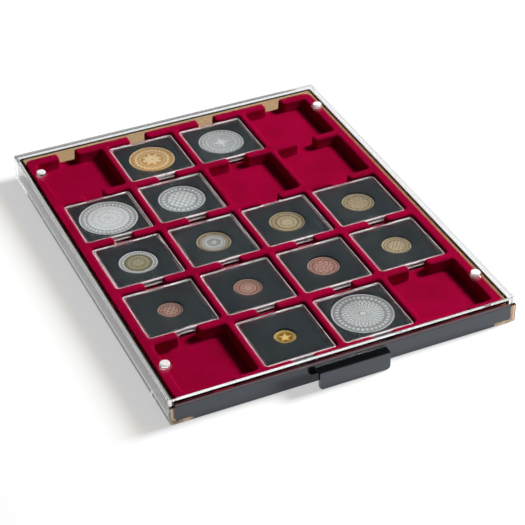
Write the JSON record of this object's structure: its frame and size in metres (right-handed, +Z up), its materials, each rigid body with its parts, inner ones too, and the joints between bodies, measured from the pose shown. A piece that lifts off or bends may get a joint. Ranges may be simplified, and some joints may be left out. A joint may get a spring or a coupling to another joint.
{
  "type": "coin box",
  "caption": "Flat stackable coin box: clear case with a smoked pull-out drawer, a red flocked tray of square pockets, and clear capsules that hold coins in black foam.",
  "frame": {"origin": "middle of the whole box's outline, on the surface it stands on", "axes": "+Z up, the drawer opens towards -Y, +X to the right seen from the front"},
  "size_m": [0.236, 0.3048, 0.02],
  "materials": {
    "clear_case": "clear polished polystyrene",
    "smoked_plastic": "dark smoked polystyrene, glossy",
    "red_flock": "red flock on a formed plastic sheet",
    "clear_capsule": "clear polished polystyrene",
    "black_foam": "matt black closed-cell foam",
    "coin_silver": "bright silver",
    "coin_gold": "bright gold",
    "coin_brass": "worn coin brass",
    "coin_copper": "worn coin copper",
    "coin_silver_ring": "silver ring with a gold core",
    "coin_gold_ring": "gold ring with a silver core"
  },
  "bodies": {
    "case": {"case": "clear_case"},
    "drawer": {"drawer": "smoked_plastic", "tray": "red_flock", "capsule_base_r1c2": "clear_capsule", "capsule_lid_r1c2": "clear_capsule", "foam_inlay_r1c2": "black_foam", "coin_r1c2": "coin_gold", "capsule_base_r1c3": "clear_capsule", "capsule_lid_r1c3": "clear_capsule", "foam_inlay_r1c3": "black_foam", "coin_r1c3": "coin_silver", "capsule_base_r2c1": "clear_capsule", "capsule_lid_r2c1": "clear_capsule", "foam_inlay_r2c1": "black_foam", "coin_r2c1": "coin_copper", "capsule_base_r2c2": "clear_capsule", "capsule_lid_r2c2": "clear_capsule", "foam_inlay_r2c2": "black_foam", "coin_r2c2": "coin_copper", "capsule_base_r2c3": "clear_capsule", "capsule_lid_r2c3": "clear_capsule", "foam_inlay_r2c3": "black_foam", "coin_r2c3": "coin_copper", "capsule_base_r2c4": "clear_capsule", "capsule_lid_r2c4": "clear_capsule", "foam_inlay_r2c4": "black_foam", "coin_r2c4": "coin_brass", "capsule_base_r3c1": "clear_capsule", "capsule_lid_r3c1": "clear_capsule", "foam_inlay_r3c1": "black_foam", "coin_r3c1": "coin_silver_ring", "capsule_base_r3c2": "clear_capsule", "capsule_lid_r3c2": "clear_capsule", "foam_inlay_r3c2": "black_foam", "coin_r3c2": "coin_gold_ring", "capsule_base_r3c3": "clear_capsule", "capsule_lid_r3c3": "clear_capsule", "foam_inlay_r3c3": "black_foam", "coin_r3c3": "coin_brass", "capsule_base_r3c4": "clear_capsule", "capsule_lid_r3c4": "clear_capsule", "foam_inlay_r3c4": "black_foam", "coin_r3c4": "coin_brass", "capsule_base_r4c1": "clear_capsule", "capsule_lid_r4c1": "clear_capsule", "foam_inlay_r4c1": "black_foam", "coin_r4c1": "coin_silver", "capsule_base_r4c2": "clear_capsule", "capsule_lid_r4c2": "clear_capsule", "foam_inlay_r4c2": "black_foam", "coin_r4c2": "coin_silver", "capsule_base_r5c2": "clear_capsule", "capsule_lid_r5c2": "clear_capsule", "foam_inlay_r5c2": "black_foam", "coin_r5c2": "coin_gold", "capsule_base_r5c3": "clear_capsule", "capsule_lid_r5c3": "clear_capsule", "foam_inlay_r5c3": "black_foam", "coin_r5c3": "coin_silver"}
  },
  "joints": [
    {"name": "drawer_slide", "type": "slide", "parent": "case", "child": "drawer", "axis": [0, -1, 0], "range_m": [0, 0.281]}
  ]
}
